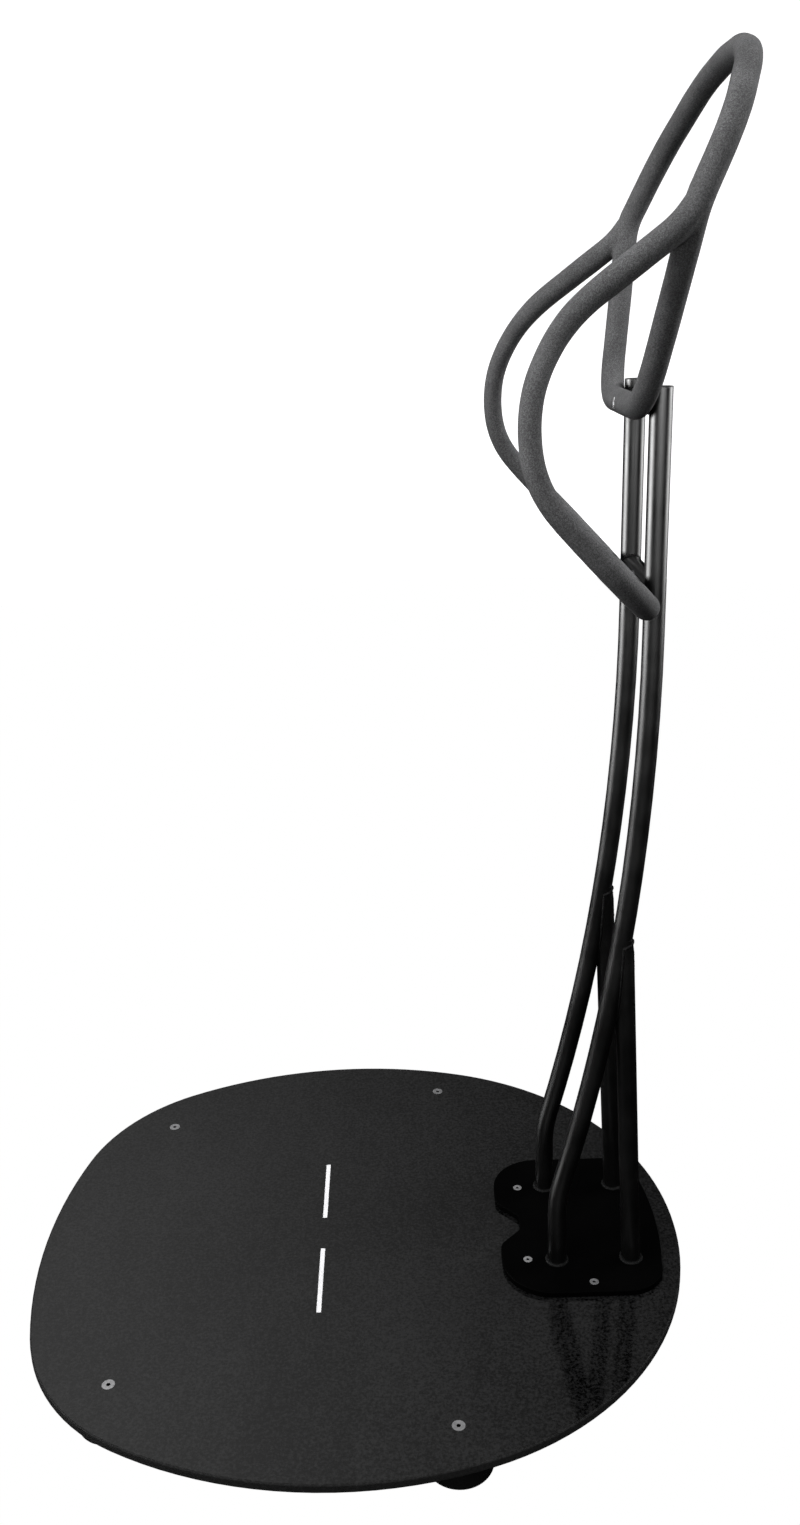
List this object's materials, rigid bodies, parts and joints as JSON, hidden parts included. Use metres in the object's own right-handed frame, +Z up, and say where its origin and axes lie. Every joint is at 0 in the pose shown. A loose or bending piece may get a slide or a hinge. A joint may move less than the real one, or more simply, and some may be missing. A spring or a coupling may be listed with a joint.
{
  "type": "vibration plate",
  "caption": "Standing gym platform: rounded board on rubber feet with a twin-tube column and a closed foam-covered handle bar.",
  "frame": {"origin": "on the floor, in the middle of the footprint", "axes": "+X from the open end of the board to the column, +Y to the left of a person facing the column, +Z up"},
  "size_m": [0.9099, 0.8524, 1.5468],
  "materials": {
    "laminate": "fine satin",
    "foot_rubber": "matte",
    "zinc_steel": "zinc plated",
    "satin_steel": "satin",
    "polished_steel": "polished",
    "grip_foam": "soft matte foam skin",
    "core_steel": "mill",
    "cap_plastic": "satin",
    "weld": "gloss black over rough bead",
    "black_powder_coat": "semi-gloss black"
  },
  "bodies": {
    "root": {"base_plate": "black_powder_coat", "base_welds": "weld", "brace_welds": "weld", "crossbar_welds": "weld", "deck_board": "laminate", "foot_inserts": "zinc_steel", "foot_screws": "satin_steel", "front_left_foot": "foot_rubber", "front_right_foot": "foot_rubber", "handle_bolts": "polished_steel", "handle_sleeves": "zinc_steel", "left_brace": "black_powder_coat", "left_upright": "black_powder_coat", "lower_crossbar": "black_powder_coat", "lower_grip": "grip_foam", "lower_grip_core": "core_steel", "middle_left_foot": "foot_rubber", "middle_right_foot": "foot_rubber", "plate_nuts": "zinc_steel", "plate_screws": "polished_steel", "plate_washers": "zinc_steel", "rear_foot_inserts": "zinc_steel", "rear_foot_screws": "polished_steel", "rear_left_foot": "foot_rubber", "rear_right_foot": "foot_rubber", "right_brace": "black_powder_coat", "right_upright": "black_powder_coat", "upper_crossbar": "black_powder_coat", "upper_grip": "grip_foam", "upper_grip_core": "core_steel", "upright_caps": "cap_plastic"}
  },
  "joints": []
}
